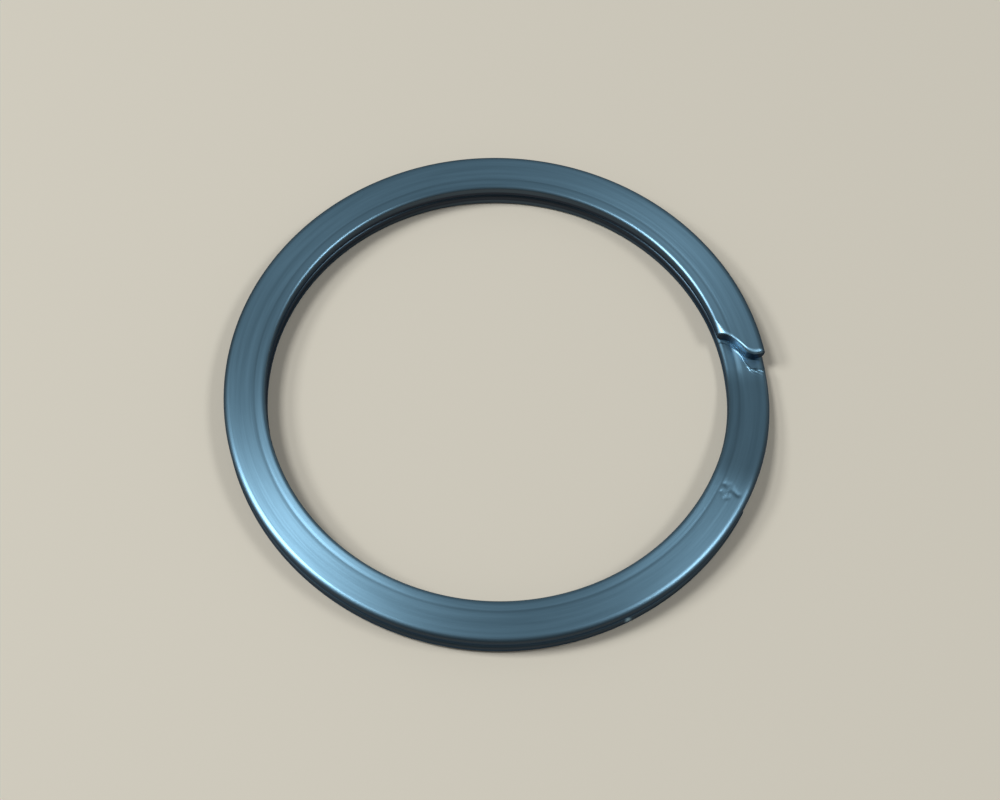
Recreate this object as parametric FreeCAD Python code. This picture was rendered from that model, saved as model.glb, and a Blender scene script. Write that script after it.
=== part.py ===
import FreeCAD, Part
import math
import os

# Split key ring: one flattened spring-steel wire wound as two flat turns, one lying on the
# other. A short crossover climbs from the lower turn to the upper turn. The wire is divided
# into stretches at the places where it bends when a key is slid on.
#
# Frame: +Z up, origin at the centre of the ring on its bottom face. Angles are measured in
# degrees about +Z from +X. The wire climbs clockwise as seen from above.

# ---- driving dimensions, in mm
outer_diameter = 32.0
inner_diameter = 27.1
wire_thickness = 0.88
turn_gap = 0.02
edge_rounding = 0.22

# ---- where the parts of the wire begin and end, in degrees
crossover_start = 8.0
crossover_end = -24.0
first_bend = -167.0
stretch_angle = 30.0
stretch_count = 6
crossover_bend_share = 0.18
spine_points = 33

# ---- sheared end of the upper turn: share of the width from the inner edge, and angle
sheared_end = [
    (-0.08, 17.2),
    (0.0, 16.9),
    (0.085, 16.5),
    (0.24, 15.5),
    (0.36, 14.0),
    (0.46, 12.4),
    (0.56, 10.9),
    (0.68, 10.1),
    (0.84, 10.0),
    (1.0, 10.3),
    (1.08, 10.5),
]
cut_away_angle = 12.0
cut_away_margin = 1.0

outer_radius = outer_diameter / 2
inner_radius = inner_diameter / 2
middle_radius = (outer_radius + inner_radius) / 2
wire_width = outer_radius - inner_radius
climb = wire_thickness + turn_gap
flip_axis_angle = (crossover_start + crossover_end) / 2


def polar(radius, angle, height=0.0):
    """Point at a radius and an angle in degrees, at a height."""
    turn = math.radians(angle)
    return FreeCAD.Vector(radius * math.cos(turn), radius * math.sin(turn), height)


def corner_arc(middle_x, middle_z, start_angle):
    """Quarter circle of the edge rounding in the XZ plane, beginning at an angle."""
    points = []
    for step in range(3):
        turn = math.radians(start_angle + 45 * step)
        x = middle_x + edge_rounding * math.cos(turn)
        z = middle_z + edge_rounding * math.sin(turn)
        points.append(FreeCAD.Vector(x, 0, z))
    return Part.Arc(*points).toShape()


def section_outline(bottom):
    """Closed outline of the flattened wire in the XZ plane, with its four edges rounded."""
    left = inner_radius + edge_rounding
    right = outer_radius - edge_rounding
    low = bottom + edge_rounding
    high = bottom + wire_thickness - edge_rounding
    corners = [(right, low, 270), (right, high, 0), (left, high, 90), (left, low, 180)]
    arcs = [corner_arc(*corner) for corner in corners]
    edges = []
    for index, arc in enumerate(arcs):
        following = arcs[(index + 1) % len(arcs)]
        edges.append(arc)
        edges.append(Part.makeLine(arc.lastVertex().Point, following.firstVertex().Point))
    return Part.Wire(edges)


def flat_stretch(start, end, bottom):
    """Level stretch of the wire from one angle clockwise to another."""
    face = Part.Face(section_outline(bottom))
    face.rotate(FreeCAD.Vector(), FreeCAD.Vector(0, 0, 1), end)
    return face.revolve(FreeCAD.Vector(), FreeCAD.Vector(0, 0, 1), start - end)


def climb_share(share):
    """Share of the climb at a share of the crossover: a straight slope with eased ends."""
    bend = crossover_bend_share
    slope = 1 / (1 - bend)
    if share < bend:
        return slope * share ** 2 / (2 * bend)
    if share > 1 - bend:
        return 1 - slope * (1 - share) ** 2 / (2 * bend)
    return slope * (share - bend / 2)


def crossover():
    """Stretch that climbs from the lower turn to the upper turn, upright all the way."""
    spine_line = []
    for index in range(spine_points):
        share = index / (spine_points - 1)
        angle = crossover_start + share * (crossover_end - crossover_start)
        height = wire_thickness / 2 + climb * climb_share(share)
        spine_line.append(polar(middle_radius, angle, height))
    curve = Part.BSplineCurve()
    curve.interpolate(
        Points=spine_line,
        InitialTangent=polar(1, crossover_start - 90),
        FinalTangent=polar(1, crossover_end - 90),
    )
    outline = section_outline(0)
    outline.rotate(FreeCAD.Vector(), FreeCAD.Vector(0, 0, 1), crossover_start)
    sweep = Part.BRepOffsetAPI.MakePipeShell(Part.Wire(curve.toShape()))
    sweep.setBiNormalMode(FreeCAD.Vector(0, 0, 1))
    sweep.add(outline)
    sweep.build()
    sweep.makeSolid()
    return sweep.shape()


def cut_away():
    """Block that the end of the wire loses, beyond the S-shaped line where it is sheared."""
    bottom = climb / 2
    line = []
    for share, angle in sheared_end:
        line.append(polar(inner_radius + share * wire_width, angle, bottom))
    curve = Part.BSplineCurve()
    curve.interpolate(line)
    inner_angle = sheared_end[0][1] - cut_away_angle
    outer_angle = sheared_end[-1][1] - cut_away_angle
    inner_corner = polar(inner_radius - cut_away_margin, inner_angle, bottom)
    outer_corner = polar(outer_radius + cut_away_margin, outer_angle, bottom)
    sides = Part.makePolygon([line[-1], outer_corner, inner_corner, line[0]])
    face = Part.Face(Part.Wire([curve.toShape(), *sides.Edges]))
    return face.extrude(FreeCAD.Vector(0, 0, 2 * climb))


def sheared_stretch(start):
    """Last stretch of the upper turn, from an angle to its sheared end."""
    end = sheared_end[-1][1] - cut_away_angle / 2 - 360
    return flat_stretch(start, end, climb).cut(cut_away())


def turned_over(shape):
    """Same stretch on the other side: the ring is alike when turned over this axis."""
    copy = shape.copy()
    copy.rotate(polar(0, 0, (climb + wire_thickness) / 2), polar(1, flip_axis_angle), 180)
    return copy


def upper_turn():
    """Stretches of the upper turn by name, from the crossover to the free end."""
    stretches = {"turn_root": flat_stretch(crossover_end, first_bend, climb)}
    start = first_bend
    for number in range(1, stretch_count):
        stretches[f"stretch_{number}"] = flat_stretch(start, start - stretch_angle, climb)
        start -= stretch_angle
    stretches["free_end"] = sheared_stretch(start)
    return stretches


def whole_ring():
    """Every stretch of the wire, by name."""
    nodes = {"crossover": crossover()}
    for name, shape in upper_turn().items():
        nodes["upper_" + name] = shape
        nodes["lower_" + name] = turned_over(shape)
    return nodes


os.makedirs("parts", exist_ok=True)
for name, shape in whole_ring().items():
    solid = shape if shape.ShapeType == "Solid" else shape.Solids[0]
    assert solid.isValid() and solid.Volume > 0 and len(shape.Solids) == 1, name
    solid.exportStep(f"parts/{name}.step")
    box = solid.BoundBox
    print(f"{name:18s} {solid.Volume:7.3f} mm3  z {box.ZMin:6.3f} to {box.ZMax:6.3f}")
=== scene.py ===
import math

import bpy
import numpy as np
from mathutils import Matrix, Vector


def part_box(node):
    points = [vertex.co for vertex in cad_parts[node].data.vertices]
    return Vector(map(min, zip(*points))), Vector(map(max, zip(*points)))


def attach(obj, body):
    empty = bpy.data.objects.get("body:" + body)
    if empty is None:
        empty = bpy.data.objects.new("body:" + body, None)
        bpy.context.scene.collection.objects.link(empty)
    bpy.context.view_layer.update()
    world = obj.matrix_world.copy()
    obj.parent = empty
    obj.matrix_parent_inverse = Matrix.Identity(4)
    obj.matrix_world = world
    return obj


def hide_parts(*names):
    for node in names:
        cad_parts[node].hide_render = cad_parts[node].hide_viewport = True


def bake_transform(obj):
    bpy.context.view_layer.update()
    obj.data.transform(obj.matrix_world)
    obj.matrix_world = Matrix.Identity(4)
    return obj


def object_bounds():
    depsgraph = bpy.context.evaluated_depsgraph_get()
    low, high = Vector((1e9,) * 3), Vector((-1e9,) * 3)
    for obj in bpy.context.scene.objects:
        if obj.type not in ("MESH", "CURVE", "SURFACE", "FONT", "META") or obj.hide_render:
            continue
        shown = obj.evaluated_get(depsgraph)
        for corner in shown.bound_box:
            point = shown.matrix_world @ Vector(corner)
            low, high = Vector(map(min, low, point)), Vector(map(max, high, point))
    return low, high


# A split key ring: one flattened steel wire wound as two flat turns, built as one smooth skin.
# "Travel" is how far along the wire a place is, in degrees clockwise round the ring. It grows
# from the lower free end, through the lower turn, up the crossover and round the upper turn.
# The ring is alike when turned over, so the lower half of the wire repeats the upper half. Only
# the nick is on one side. "Across" is the distance from the inner edge of the wire, in mm, and
# "share" is the same as a share of its width. "Height" is measured from the wire's middle.

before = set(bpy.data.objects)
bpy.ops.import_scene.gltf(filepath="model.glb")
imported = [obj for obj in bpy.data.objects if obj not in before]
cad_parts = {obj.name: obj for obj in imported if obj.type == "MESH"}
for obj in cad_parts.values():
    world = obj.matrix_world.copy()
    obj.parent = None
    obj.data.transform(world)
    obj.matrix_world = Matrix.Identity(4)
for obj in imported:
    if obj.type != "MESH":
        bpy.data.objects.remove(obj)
cad_low, cad_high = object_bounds()

MM = 0.001

# ---- sizes read from the CAD frame, in mm
lower_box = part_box("lower_stretch_1")
upper_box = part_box("upper_stretch_1")
OUTER_RADIUS = cad_high.x / MM
INNER_RADIUS = min(v.co.xy.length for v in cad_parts["upper_stretch_1"].data.vertices) / MM
WIRE_WIDTH = OUTER_RADIUS - INNER_RADIUS
MIDDLE_RADIUS = (OUTER_RADIUS + INNER_RADIUS) / 2
WIRE_THICKNESS = (lower_box[1].z - lower_box[0].z) / MM
CLIMB = (upper_box[0].z - lower_box[0].z) / MM
MM_PER_DEGREE = math.radians(MIDDLE_RADIUS)

# ---- where things are along the wire, in degrees of travel
FULL_TURN = 360
CROSSOVER_START = 352.0
CROSSOVER_END = 384.0
WHOLE_TRAVEL = CROSSOVER_START + CROSSOVER_END
UPPER_END_TRAVEL = 707.3
STEP_TRAVEL = 349.4
NICK_TRAVEL = 61.0
SEAM_END = 349.0
SEAM_SPAN = 6.0
BENDS = 6
FIRST_BEND = 527.0
BEND_SPACING = 30.0
UPPER_ROOT_END = FIRST_BEND - BEND_SPACING / 2
ROOT_REACH = 18.0

# ---- shares of the crossover where its slope begins and ends
FOOT_EASE = 0.14
HEAD_EASE = 0.18

# ---- section of the wire, in mm
EDGE_ROUNDING = 0.22
OUTER_ROUNDING = 0.36
GROOVE_PLACE = 0.66
GROOVE_WIDTH = 0.09
GROOVE_DEPTH = 0.008
INNER_BAND_FALL = 0.022
OUTER_BAND_FALL = 0.034
OUTER_BAND_CURVE = 2.4
WAVE_HEIGHT = 0.0025
CUT_EDGE_ROUNDING = 0.06

# ---- the nick on the outer wall of the lower turn, in mm
NICK_HEIGHT = 0.22
NICK_RADIUS = 0.14
NICK_DEPTH = 0.035
NICK_RIM = 0.018
NICK_BRIGHT_RADIUS = 0.17

# ---- share of bright steel colour on the walls and the cuts of the wire; its faces have 1. Less than 1 is painted shade, and the band across the middle of a cut is painted light
INNER_WALL_SHARE = 0.14
OUTER_WALL_SHARE = 0.16
CUT_SHARE = 0.05
CUT_PAINTED_LIGHT_SHARE = 0.75
CUT_PAINTED_LIGHT_PLACE = 0.46
CUT_PAINTED_LIGHT_WIDTH = 0.12

# ---- share of the brightness taken off: painted shade beside the seam, painted shade that dims the highlights on the edges and at the rolled sheared ends, and a darker line along the groove
INNER_SEAM_SHADE = 0.95
OUTER_SEAM_SHADE = 0.25
EDGE_SHADE = 0.70
GROOVE_SHADE = 0.22
ROLLED_SHADE = 0.45

# ---- lines across the wire: share of the width from the inner edge, and degrees before 720
# for the upper free end, or before 360 for the pressed step at the foot of the crossover
END_LINE = [
    (0.0, 16.9),
    (0.085, 16.5),
    (0.24, 15.5),
    (0.36, 14.0),
    (0.46, 12.4),
    (0.56, 10.9),
    (0.68, 10.1),
    (0.84, 10.0),
    (1.0, 10.3),
]
STEP_LINE = [
    (0.0, 16.2),
    (0.2, 15.2),
    (0.36, 13.4),
    (0.45, 11.8),
    (0.53, 9.4),
    (0.60, 8.3),
    (0.8, 7.7),
    (1.0, 7.4),
]

# ---- the pressed step and its torn burr: heights and widths in mm, lengths in degrees
STEP_HEIGHT = 0.10
STEP_FADE = 26.0
LIP_HEIGHT = 0.020
LIP_WIDTH = 0.12
OUTER_BURR_HEIGHT = 0.06
OUTER_BURR_REACH = 7.0
OUTER_BURR_INSET = 0.22
OUTER_BURR_WIDTH = 0.09

# ---- tool marks at the head of the crossover: both ends as (across, along) in mm, and width
LONG_SCORE = ((0.88, 0.06), (1.80, 0.38), 0.13)
SHORT_SCORE = ((0.90, 0.60), (1.38, 0.82), 0.09)
EDGE_SPOT = ((0.22, 0.0), (0.34, 0.06), 0.10)
HUMP = ((0.95, 0.30), (1.30, 0.52), 0.16)
SCORE_DEPTH = 0.030
SPOT_DEPTH = 0.036
HUMP_HEIGHT = 0.006

# ---- the sheared edge: how far its face rolls over, and the flare of its inner corner
ROLL_REACH = 0.30
ROLL_DEPTH = 0.105
FLARE_LENGTH = 1.3
FLARE_WIDTH = 0.42
FLARE_SLOPE = 0.36
ALIGN_REACH = 14.0


def smooth(values):
    """Smooth step from 0 to 1."""
    clipped = np.clip(values, 0, 1)
    return clipped * clipped * (3 - 2 * clipped)


def bump(values):
    """Round hill of height 1 and half width 1, centred on 0."""
    return np.exp(-np.square(values))


def curve_through(table, share):
    """Smooth curve through a table's (share, degrees) places."""
    places = np.array([place for place, _ in table])
    angles = np.array([angle for _, angle in table])
    slopes = np.gradient(angles, places)
    share = np.clip(share, 0, 1)
    index = np.clip(np.searchsorted(places, share, side="right") - 1, 0, len(places) - 2)
    gap = places[index + 1] - places[index]
    t = (share - places[index]) / gap
    start = angles[index] * (1 + 2 * t) * (1 - t) ** 2 + gap * slopes[index] * t * (1 - t) ** 2
    finish = angles[index + 1] * t * t * (3 - 2 * t) + gap * slopes[index + 1] * t * t * (t - 1)
    return start + finish


def upper_end_line(share):
    """Travel of the upper free end's sheared edge."""
    return 2 * FULL_TURN - curve_through(END_LINE, share)


def step_line(share):
    """Travel of the pressed step where the crossover's top face begins to rise."""
    return FULL_TURN - curve_through(STEP_LINE, share)


def turned_over(line):
    """The same line on the lower half of the wire."""
    return lambda share: WHOLE_TRAVEL - line(share)


ALIGNED_LINES = [
    (UPPER_END_TRAVEL, upper_end_line),
    (STEP_TRAVEL, step_line),
    (WHOLE_TRAVEL - STEP_TRAVEL, turned_over(step_line)),
    (WHOLE_TRAVEL - UPPER_END_TRAVEL, turned_over(upper_end_line)),
]


def aligned_travel(travel, share):
    """Travel of the points of a ring, which follows the sheared lines where it is near one."""
    moved = travel + 0 * share
    for middle, line in ALIGNED_LINES:
        near = smooth(1 - np.abs(travel - middle) / ALIGN_REACH)
        moved = moved + near * (line(share) - middle)
    return moved


def centre_height(travel):
    """Height of the wire's middle: level, then the crossover's slope, then level."""
    share = np.clip((travel - CROSSOVER_START) / (CROSSOVER_END - CROSSOVER_START), 0, 1)
    slope = 1 / (1 - (FOOT_EASE + HEAD_EASE) / 2)
    rising = slope * (share - FOOT_EASE / 2)
    rising = np.where(share < FOOT_EASE, slope * share ** 2 / (2 * FOOT_EASE), rising)
    last = 1 - slope * (1 - share) ** 2 / (2 * HEAD_EASE)
    rising = np.where(share > 1 - HEAD_EASE, last, rising)
    return WIRE_THICKNESS / 2 + CLIMB * rising


def section_relief(across):
    """Height of the flat face: highest at the inner edge, with a fine groove along it."""
    inward = np.clip((GROOVE_PLACE - across) / GROOVE_PLACE, 0, 1)
    outward = np.clip((across - GROOVE_PLACE) / (WIRE_WIDTH - GROOVE_PLACE), 0, 1)
    fall = INNER_BAND_FALL * (1 - inward) + OUTER_BAND_FALL * outward ** OUTER_BAND_CURVE
    return -fall - GROOVE_DEPTH * bump((across - GROOVE_PLACE) / GROOVE_WIDTH)


def step_relief(travel, across):
    """The pressed step at the foot of the crossover, and the torn burr along it."""
    share = across / WIRE_WIDTH
    past = travel - step_line(share)
    pressed = smooth((share - 0.28) / 0.14)
    rise = smooth(past / 0.35) * (1 - smooth(past / STEP_FADE)) * (0.15 + 0.85 * pressed)
    torn = smooth((share - 0.52) / 0.05)
    ragged = 0.45 + 0.55 * np.sin(11 * across + 1) * np.sin(29 * across + 7 * past)
    smear = np.maximum(bump((share - 0.44) / 0.09), torn * ragged)
    lip = smear * bump((past - 0.3) * MM_PER_DEGREE / LIP_WIDTH)
    spots = np.sin(23 * across + 5 * past) * np.sin(13 * past + 9 * across)
    lip = lip + torn * np.maximum(spots, 0) * bump((past - 0.9) * MM_PER_DEGREE / 0.2)
    fading = smooth(past / 0.4) * (1 - smooth(past / OUTER_BURR_REACH))
    outer_burr = fading * bump((across - WIRE_WIDTH + OUTER_BURR_INSET) / OUTER_BURR_WIDTH)
    return STEP_HEIGHT * rise + LIP_HEIGHT * lip + OUTER_BURR_HEIGHT * outer_burr


def stroke(along, across, start, end, width):
    """Round-ended stroke between two (across, along) places: 1 on its line, fading beside it."""
    start, end = np.array(start), np.array(end)
    line = end - start
    share = ((across - start[0]) * line[0] + (along - start[1]) * line[1]) / line.dot(line)
    share = np.clip(share, 0, 1)
    off_across = across - start[0] - share * line[0]
    off_along = along - start[1] - share * line[1]
    return bump(np.hypot(off_across, off_along) / width)


def tool_mark_relief(travel, across):
    """Two slanted scores and a small hump, left by the tool that formed the crossover."""
    along = (travel - CROSSOVER_END) * MM_PER_DEGREE
    scores = stroke(along, across, *LONG_SCORE) + 0.8 * stroke(along, across, *SHORT_SCORE)
    spot = stroke(along, across, *EDGE_SPOT)
    hump = stroke(along, across, *HUMP)
    return -SCORE_DEPTH * scores - SPOT_DEPTH * spot + HUMP_HEIGHT * hump


def end_relief(travel, across):
    """Where the upper turn was sheared: the face rolls over, and the inner corner is flared."""
    share = across / WIRE_WIDTH
    before = (upper_end_line(share) - travel) * MM_PER_DEGREE
    depth = ROLL_DEPTH * (0.30 + 0.70 * smooth((share - 0.30) / 0.25))
    roll = depth * np.clip(1 - before / ROLL_REACH, 0, 1) ** 2
    widening = np.clip(1 - before / FLARE_LENGTH, 0, 1)
    flare = FLARE_SLOPE * np.clip(FLARE_WIDTH * widening - across, 0, None)
    return -np.maximum(roll, flare)


def face_relief(travel, across):
    """All relief of the upward face, in mm. Only the step stands above the plain face."""
    turn = np.radians(travel)
    wave = WAVE_HEIGHT * np.sin(turn * 9 + across) * np.sin(turn * 4.3)
    mark = tool_mark_relief(travel, across)
    face = np.minimum(section_relief(across) + mark + wave, 0)
    return face + step_relief(travel, across) + end_relief(travel, across)


def from_nick(travel, height):
    """Distance from the middle of the nick, in mm."""
    return np.hypot((travel - NICK_TRAVEL) * MM_PER_DEGREE, height - NICK_HEIGHT)


def nick_depth(travel, height):
    """Small round pit with a raised rim on the outer wall of the lower turn."""
    distance = from_nick(travel, height) / NICK_RADIUS
    return NICK_DEPTH * bump(distance) - NICK_RIM * bump((distance - 1.25) / 0.3)


def half_section():
    """Upper half outline, from the middle of the outer wall over the top to the inner wall."""
    top = WIRE_THICKNESS / 2
    outer_wall = np.linspace(0, top - OUTER_ROUNDING, 3)[:-1]
    inner_wall = np.linspace(top - EDGE_ROUNDING, 0, 5)[1:]
    turns = np.radians(np.linspace(0, 90, 9))
    flat = np.concatenate([
        np.linspace(WIRE_WIDTH - OUTER_ROUNDING, 2.0, 4)[1:-1],
        np.linspace(2.0, 0.46, 29),
        np.linspace(0.38, EDGE_ROUNDING, 3)[:-1],
    ])
    across = np.concatenate([
        np.full(len(outer_wall), WIRE_WIDTH),
        WIRE_WIDTH - OUTER_ROUNDING * (1 - np.cos(turns)),
        flat,
        EDGE_ROUNDING * (1 - np.cos(turns[::-1])),
        np.zeros(len(inner_wall)),
    ])
    height = np.concatenate([
        outer_wall,
        top - OUTER_ROUNDING * (1 - np.sin(turns)),
        np.full(len(flat), top),
        top - EDGE_ROUNDING * (1 - np.sin(turns[::-1])),
        inner_wall,
    ])
    return across, height


def whole_section():
    """Closed outline: the upper half, then its mirror image back along the underside."""
    across, height = half_section()
    return np.concatenate([across, across[-2:0:-1]]), np.concatenate([height, -height[-2:0:-1]])


def painted_light_share(travel, across, height):
    """Share of the bright steel colour: 1 on the faces, less on the walls and beside the seam as
    painted shade, painted shade on the edges and the rolled sheared ends, darker along the groove; the
    nick stays bright.
    """
    rise = np.abs(height) / (WIRE_THICKNESS / 2)
    outer = smooth((across - WIRE_WIDTH / 2) / 0.3)
    on_face = smooth((rise - 0.70 + 0.30 * outer) / (0.27 + 0.30 * outer))
    # Painted shade: the walls are darker than the faces.
    wall = INNER_WALL_SHARE + (OUTER_WALL_SHARE - INNER_WALL_SHARE) * outer
    off_edge = np.minimum(across, WIRE_WIDTH - across)
    near_edge = bump(off_edge / EDGE_ROUNDING)
    shade = INNER_SEAM_SHADE + (OUTER_SEAM_SHADE - INNER_SEAM_SHADE) * outer
    # Painted shade beside the seam between the two turns.
    covered = np.where(height > 0, smooth((SEAM_END - travel) / SEAM_SPAN), 0) * shade
    covered = covered + np.where(height < 0, smooth((travel - CROSSOVER_END) / SEAM_SPAN), 0)
    # Painted shade that dims the highlights on the rounded edges.
    edge = bump((off_edge - 0.08) / 0.15) * (0.4 + 0.6 * outer)
    groove = bump((across - GROOVE_PLACE) / (0.8 * GROOVE_WIDTH))
    from_middle = np.abs(travel - WHOLE_TRAVEL / 2)
    from_end = (UPPER_END_TRAVEL - WHOLE_TRAVEL / 2 - from_middle) * MM_PER_DEGREE
    # Painted shade that dims the highlight on the rolled sheared end.
    rolled = bump(from_end / 0.2) * smooth((across / WIRE_WIDTH - 0.2) / 0.2)
    painted_darkening = (1 - EDGE_SHADE * edge) * (1 - GROOVE_SHADE * groove) * (1 - covered * near_edge)
    plain = (wall + (1 - wall) * on_face) * painted_darkening * (1 - ROLLED_SHADE * rolled)
    return np.maximum(plain, outer * bump(from_nick(travel, height) / NICK_BRIGHT_RADIUS))


def wire_points(travel, inset):
    """Grid of points in metres: one ring for each travel, shrunk by its inset."""
    across, height = whole_section()
    travel = travel[:, None]
    inset = inset[:, None]
    narrowed = WIRE_WIDTH / 2 + (across - WIRE_WIDTH / 2) * (1 - 2 * inset / WIRE_WIDTH)
    lowered = height * (1 - 2 * inset / WIRE_THICKNESS)
    place = aligned_travel(travel, across / WIRE_WIDTH)
    half = WIRE_THICKNESS / 2
    upward = smooth((height - half * 0.3) / (half * 0.7))
    downward = smooth((-height - half * 0.3) / (half * 0.7))
    level = centre_height(place) + lowered
    level = level + upward * face_relief(place, across)
    level = level - downward * face_relief(WHOLE_TRAVEL - place, across)
    on_wall = smooth((across - WIRE_WIDTH + 0.15) / 0.15)
    radius = INNER_RADIUS + narrowed - on_wall * nick_depth(place, height)
    turn = -np.radians(place)
    return np.stack([radius * np.cos(turn), radius * np.sin(turn), level], -1) * MM


# ---- stretches that need closer rings: middle, half width and ring spacing, in degrees
CLOSE_RINGS = [
    (STEP_TRAVEL, 6.0, 0.30),
    (STEP_TRAVEL + 0.3, 0.9, 0.06),
    (WHOLE_TRAVEL - STEP_TRAVEL, 6.0, 0.30),
    (WHOLE_TRAVEL - STEP_TRAVEL - 0.3, 0.9, 0.06),
    (UPPER_END_TRAVEL - 1, 5.5, 0.15),
    (WHOLE_TRAVEL - UPPER_END_TRAVEL + 1, 5.5, 0.15),
    (CROSSOVER_END + 1.4, 3.6, 0.12),
    (CROSSOVER_START - 1.4, 3.6, 0.12),
    (NICK_TRAVEL, 1.4, 0.08),
]
PLAIN_SPACING = 1.0
SHORTEST_GAP = 0.02


def ring_places(start, end):
    """Travels of the rings between two places, closer where there is fine detail."""
    places = [start]
    while places[-1] < end - 1e-6:
        here = places[-1]
        steps = [step for middle, half, step in CLOSE_RINGS if abs(here - middle) < half]
        places.append(min(here + min(steps, default=PLAIN_SPACING), end))
    if len(places) > 2 and places[-1] - places[-2] < SHORTEST_GAP:
        places.pop(-2)
    return np.array(places)


def rounded_cut(places, inset, at_start):
    """Adds the rings that round the rim of a sheared end."""
    turns = np.radians([0, 22.5, 45, 67.5, 90])
    reach = CUT_EDGE_ROUNDING / MM_PER_DEGREE
    shrink = CUT_EDGE_ROUNDING * (1 - np.cos(turns))
    if at_start:
        rim = places[0] + reach * (1 - np.sin(turns))
        keep = places > rim[0] + SHORTEST_GAP
        return (
            np.concatenate([rim[::-1], places[keep]]),
            np.concatenate([shrink[::-1], inset[keep]]),
        )
    rim = places[-1] - reach * (1 - np.sin(turns))
    keep = places < rim[0] - SHORTEST_GAP
    return np.concatenate([places[keep], rim]), np.concatenate([inset[keep], shrink])


def section_lengths():
    """Distance round the section to each of its points, in metres, and once round."""
    across, height = whole_section()
    steps = np.hypot(np.diff(across, append=across[0]), np.diff(height, append=height[0]))
    return np.concatenate([[0], np.cumsum(steps)]) * MM


def skin_faces(rings, around, along_map, painted_light):
    """Faces between the rings, with the map and the painted light share of each of their corners."""
    round_map = section_lengths()
    faces = []
    maps = []
    shares = []
    for ring in range(rings - 1):
        first, second = along_map[ring], along_map[ring + 1]
        for spot in range(around):
            following = (spot + 1) % around
            here = ring * around
            there = here + around
            faces.append((here + spot, there + spot, there + following, here + following))
            low, high = round_map[spot], round_map[spot + 1]
            maps += [(first, low), (second, low), (second, high), (first, high)]
            shares += [painted_light[ring, spot], painted_light[ring + 1, spot]]
            shares += [painted_light[ring + 1, following], painted_light[ring, following]]
    return faces, maps, shares


def cut_faces(points, ring, flip, along):
    """Faces that close one end of a piece, in strips from the outer wall to the inner wall."""
    around = points.shape[1]
    across, _ = whole_section()
    base = ring * around
    faces = []
    maps = []
    shares = []
    for spot in range(around // 2):
        corners = [base + spot, base + spot + 1]
        corners += [base + (around - spot - 1) % around, base + (around - spot) % around]
        corners = list(dict.fromkeys(corners))
        faces.append(tuple(corners[::-1] if flip else corners))
        local = [points[ring, corner - base] for corner in faces[-1]]
        maps += [(along + math.hypot(p[0], p[1]), 0.3 * p[2]) for p in local]
        # Painted shade on the cut face, with a band of painted light across its middle.
        share = across[spot] / WIRE_WIDTH
        cut_painted_light = float(bump((share - CUT_PAINTED_LIGHT_PLACE) / CUT_PAINTED_LIGHT_WIDTH))
        shares += [CUT_SHARE + CUT_PAINTED_LIGHT_SHARE * cut_painted_light] * len(corners)
    return faces, maps, shares


def mark_sharp(mesh, rings, around):
    """Sharp edges round the two end rings, so that the cuts don't shade as round."""
    rims = set()
    for ring in (0, rings - 1):
        for spot in range(around):
            rims.add(frozenset((ring * around + spot, ring * around + (spot + 1) % around)))
    sharp = mesh.attributes.new("sharp_edge", "BOOLEAN", "EDGE")
    for edge in mesh.edges:
        sharp.data[edge.index].value = frozenset(edge.vertices) in rims


def wire_piece(name, start, end, cut_start=False, cut_end=False):
    """Closed mesh of the wire between two travels, with a map along and round the wire."""
    places = ring_places(start, end)
    inset = np.zeros(len(places))
    if cut_start:
        places, inset = rounded_cut(places, inset, True)
    if cut_end:
        places, inset = rounded_cut(places, inset, False)
    points = wire_points(places, inset)
    rings, around = points.shape[:2]
    along_map = places * MM_PER_DEGREE * MM
    across, height = whole_section()
    painted_light = painted_light_share(places[:, None], across[None], height[None])
    faces, maps, shares = skin_faces(rings, around, along_map, painted_light)
    for ring, flip in ((0, False), (rings - 1, True)):
        more_faces, more_maps, more_shares = cut_faces(points, ring, flip, along_map[ring])
        faces += more_faces
        maps += more_maps
        shares += more_shares
    mesh = bpy.data.meshes.new(name)
    mesh.from_pydata(points.reshape(-1, 3).tolist(), [], faces)
    layer = mesh.uv_layers.new(name="wire")
    layer.data.foreach_set("uv", np.array(maps, np.float32).ravel())
    # Share of bright steel colour per corner: below 1 is painted shade, and the middle band of a cut is
    # painted light.
    painted_light_layer = mesh.attributes.new("painted_light_share", "FLOAT", "CORNER")
    painted_light_layer.data.foreach_set("value", np.array(shares, np.float32))
    mesh.shade_smooth()
    mark_sharp(mesh, rings, around)
    mesh.validate()
    piece = bpy.data.objects.new(name, mesh)
    bpy.context.scene.collection.objects.link(piece)
    piece.data.materials.append(steel)
    return piece


# ---- the steel: colours, and how fine its streaks and patches are along and round the wire
# DARK_STEEL is the painted shade colour, mixed in where the painted light share is low.
DARK_STEEL = (0.042, 0.046, 0.056, 1)
DULL_STEEL = (0.28, 0.415, 0.51, 1)
BRIGHT_STEEL = (0.36, 0.525, 0.64, 1)
GRAZING_TINT = (0.35, 0.45, 0.6, 1)
STREAK_SCALE = (90, 9000, 1)
PATCH_SCALE = (120, 2600, 1)
SMOOTHEST = 0.32
ROUGHEST = 0.44


def node(tree, kind, **values):
    """New shader node with its properties and socket values set."""
    made = tree.nodes.new(kind)
    for key, value in values.items():
        if key in made.inputs:
            made.inputs[key].default_value = value
        else:
            setattr(made, key, value)
    return made


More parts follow.
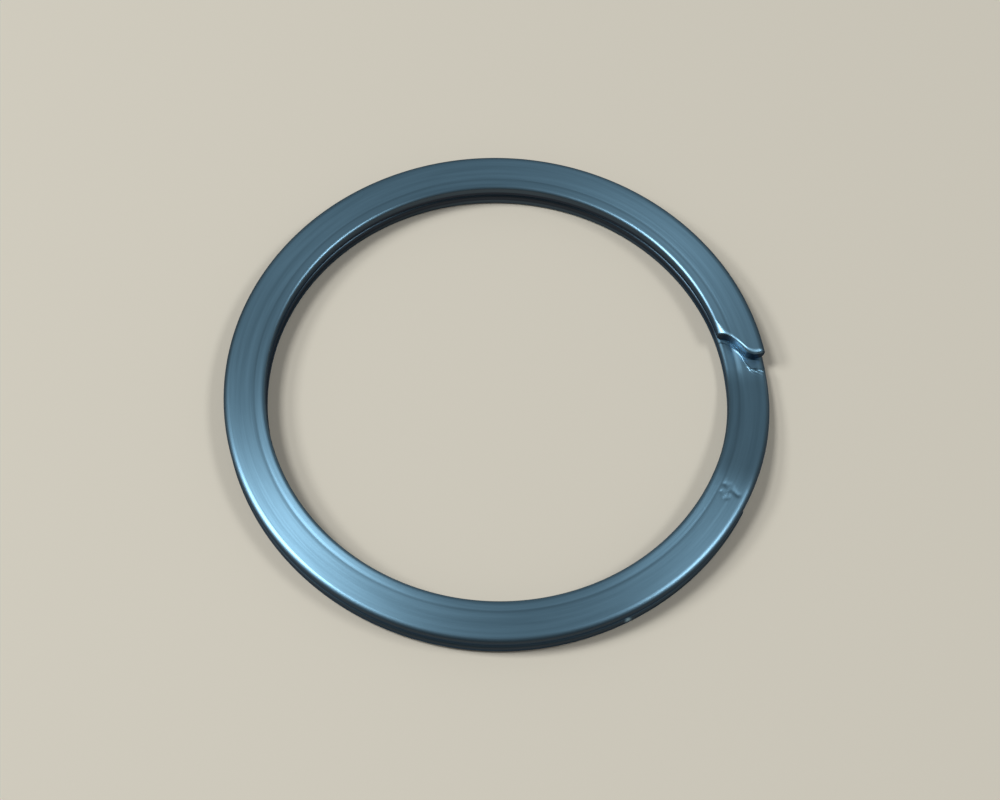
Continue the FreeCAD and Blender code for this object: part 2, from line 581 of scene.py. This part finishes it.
def steel_material():
    """Satin spring steel: drawn streaks along the wire, over a faint cloudy unevenness, with painted
    shade mixed into its colour.
    """
    material = bpy.data.materials.new("spring_steel")
    material.use_nodes = True
    tree = material.node_tree
    shader = tree.nodes["Principled BSDF"]
    shader.inputs["Metallic"].default_value = 1.0
    shader.inputs["Specular Tint"].default_value = GRAZING_TINT
    shader.inputs["Anisotropic"].default_value = 0.6
    shader.inputs["Anisotropic Rotation"].default_value = 0.25
    join = tree.links.new
    wire_map = node(tree, "ShaderNodeUVMap", uv_map="wire")
    along = node(tree, "ShaderNodeMapping")
    along.inputs["Scale"].default_value = STREAK_SCALE
    join(wire_map.outputs["UV"], along.inputs["Vector"])
    streaks = node(tree, "ShaderNodeTexNoise", Scale=1.0, Detail=4.0, Roughness=0.65)
    join(along.outputs["Vector"], streaks.inputs["Vector"])
    patch_map = node(tree, "ShaderNodeMapping")
    patch_map.inputs["Scale"].default_value = PATCH_SCALE
    join(wire_map.outputs["UV"], patch_map.inputs["Vector"])
    patches = node(tree, "ShaderNodeTexNoise", Scale=1.0, Detail=3.0, Roughness=0.55)
    join(patch_map.outputs["Vector"], patches.inputs["Vector"])
    tone = node(tree, "ShaderNodeValToRGB")
    tone.color_ramp.elements[0].position = 0.3
    tone.color_ramp.elements[0].color = DULL_STEEL
    tone.color_ramp.elements[1].position = 0.7
    tone.color_ramp.elements[1].color = BRIGHT_STEEL
    join(patches.outputs["Fac"], tone.inputs["Fac"])
    # Base colour: painted shade towards DARK_STEEL on walls, seam, edges, cuts and rolled ends, and
    # darker along the groove.
    painted_darkening = node(tree, "ShaderNodeAttribute", attribute_name="painted_light_share")
    steel_tone = node(tree, "ShaderNodeMix", data_type="RGBA")
    steel_tone.inputs["A"].default_value = DARK_STEEL
    join(painted_darkening.outputs["Fac"], steel_tone.inputs["Factor"])
    join(tone.outputs["Color"], steel_tone.inputs["B"])
    join(steel_tone.outputs["Result"], shader.inputs["Base Color"])
    rough = node(tree, "ShaderNodeMapRange")
    rough.inputs["To Min"].default_value = SMOOTHEST
    rough.inputs["To Max"].default_value = ROUGHEST
    join(streaks.outputs["Fac"], rough.inputs["Value"])
    join(rough.outputs["Result"], shader.inputs["Roughness"])
    relief = node(tree, "ShaderNodeBump", Strength=0.20, Distance=0.00002)
    join(streaks.outputs["Fac"], relief.inputs["Height"])
    join(relief.outputs["Normal"], shader.inputs["Normal"])
    tangent = node(tree, "ShaderNodeTangent", direction_type="UV_MAP", uv_map="wire")
    join(tangent.outputs["Tangent"], shader.inputs["Tangent"])
    return material


steel = steel_material()


def root_pieces():
    """The crossover and the two stretches beside it, which stay put."""
    first, last = CROSSOVER_START - ROOT_REACH, CROSSOVER_END + ROOT_REACH
    low, high = WHOLE_TRAVEL - UPPER_ROOT_END, UPPER_ROOT_END
    for name, start, end, replaced in (
        ("lower_root_wire", low, first, "lower_turn_root"),
        ("crossover_wire", first, last, "crossover"),
        ("upper_root_wire", last, high, "upper_turn_root"),
    ):
        piece = wire_piece(name, start, end)
        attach(piece, "wire_root")
        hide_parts(replaced)


def free_pieces(side):
    """The pieces of one free half turn. Each one reaches across one joint of the frame."""
    bodies = ["wire_root"] + [f"{side}_stretch_{number}" for number in range(1, BENDS)]
    bodies.append(f"{side}_free_end")
    lower = side == "lower"
    for number in range(1, BENDS + 1):
        start = UPPER_ROOT_END + BEND_SPACING * (number - 1)
        end = start + BEND_SPACING
        if lower:
            start, end = WHOLE_TRAVEL - start, WHOLE_TRAVEL - end
        piece = wire_piece(f"{side}_wire_{number}", min(start, end), max(start, end))
        if number < BENDS:
            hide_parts(f"{side}_stretch_{number}")
        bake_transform(piece)
    start, end = UPPER_ROOT_END + BEND_SPACING * BENDS, UPPER_END_TRAVEL
    if lower:
        start, end = WHOLE_TRAVEL - end, WHOLE_TRAVEL - start
    tip = wire_piece(f"{side}_tip_wire", start, end, cut_start=lower, cut_end=not lower)
    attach(tip, bodies[-1])
    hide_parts(f"{side}_free_end")


root_pieces()
free_pieces("upper")
free_pieces("lower")


# ---- floor, camera and lights. Floor and camera distances are in outer radii of the ring, and
# those of the lights are in metres.
FLOOR_SIZE = 60.0
FLOOR_COLOUR = (0.93, 0.68, 0.52, 1)
CAMERA_DISTANCE = 6.753
CAMERA_ELEVATION = 62.74
CAMERA_ROLL = 2.30
CAMERA_TARGET = (0.0097, -0.0158)
CAMERA_LENS = 65.69
UNIT = OUTER_RADIUS * MM
LIGHT_DISTANCE = 0.5
DAYLIGHT = (0.70, 0.90, 1.0)
ROOM_STRENGTH = 0.17


def make_floor():
    """Plain pale floor that the ring lies on."""
    half = FLOOR_SIZE * UNIT
    mesh = bpy.data.meshes.new("floor")
    corners = [(-half, -half, 0), (half, -half, 0), (half, half, 0), (-half, half, 0)]
    mesh.from_pydata(corners, [], [(0, 1, 2, 3)])
    floor = bpy.data.objects.new("floor", mesh)
    bpy.context.scene.collection.objects.link(floor)
    material = bpy.data.materials.new("floor_paper")
    material.use_nodes = True
    shader = material.node_tree.nodes["Principled BSDF"]
    shader.inputs["Base Color"].default_value = FLOOR_COLOUR
    shader.inputs["Roughness"].default_value = 0.85
    mesh.materials.append(material)


def make_camera():
    """Camera above the front of the ring, turned a little about its own axis."""
    pitch = math.radians(CAMERA_ELEVATION)
    roll = math.radians(CAMERA_ROLL)
    target = Vector((*CAMERA_TARGET, 0)) * UNIT
    backward = Vector((0, -math.cos(pitch), math.sin(pitch)))
    level_right = Vector((1, 0, 0))
    level_up = backward.cross(level_right)
    right = math.cos(roll) * level_right + math.sin(roll) * level_up
    upward = math.cos(roll) * level_up - math.sin(roll) * level_right
    axes = Matrix((right, upward, backward)).transposed().to_4x4()
    camera = bpy.data.objects.new("camera", bpy.data.cameras.new("camera"))
    camera.data.lens = CAMERA_LENS
    camera.data.clip_start = 0.001
    camera.matrix_world = Matrix.Translation(target + CAMERA_DISTANCE * UNIT * backward) @ axes
    bpy.context.scene.collection.objects.link(camera)
    bpy.context.scene.camera = camera


def area_light(name, azimuth, elevation, width, height, power):
    """Soft light that faces the ring. Azimuth is in degrees about +Z from +X."""
    light = bpy.data.lights.new(name, "AREA")
    light.shape = "RECTANGLE"
    light.size = width
    light.size_y = height
    light.energy = power
    light.color = DAYLIGHT
    lamp = bpy.data.objects.new(name, light)
    turn, rise = math.radians(azimuth), math.radians(elevation)
    outward = Vector((math.cos(turn) * math.cos(rise), math.sin(turn) * math.cos(rise), math.sin(rise)))
    lamp.location = outward * LIGHT_DISTANCE
    lamp.rotation_euler = outward.to_track_quat("Z", "Y").to_euler()
    bpy.context.scene.collection.objects.link(lamp)


def make_lights():
    """A high key and a lower fill from the left, a fill from the right, and a dim room."""
    area_light("key", 178, 62, 0.12, 0.12, 1.02)
    area_light("left_fill", 182, 44, 0.14, 0.10, 0.75)
    area_light("right_fill", -4, 55, 0.16, 0.10, 0.60)
    world = bpy.data.worlds.new("room")
    world.use_nodes = True
    background = world.node_tree.nodes["Background"]
    background.inputs["Color"].default_value = (*DAYLIGHT, 1)
    background.inputs["Strength"].default_value = ROOM_STRENGTH
    bpy.context.scene.world = world


make_floor()
make_camera()
make_lights()
bpy.context.scene.view_settings.view_transform = "Standard"
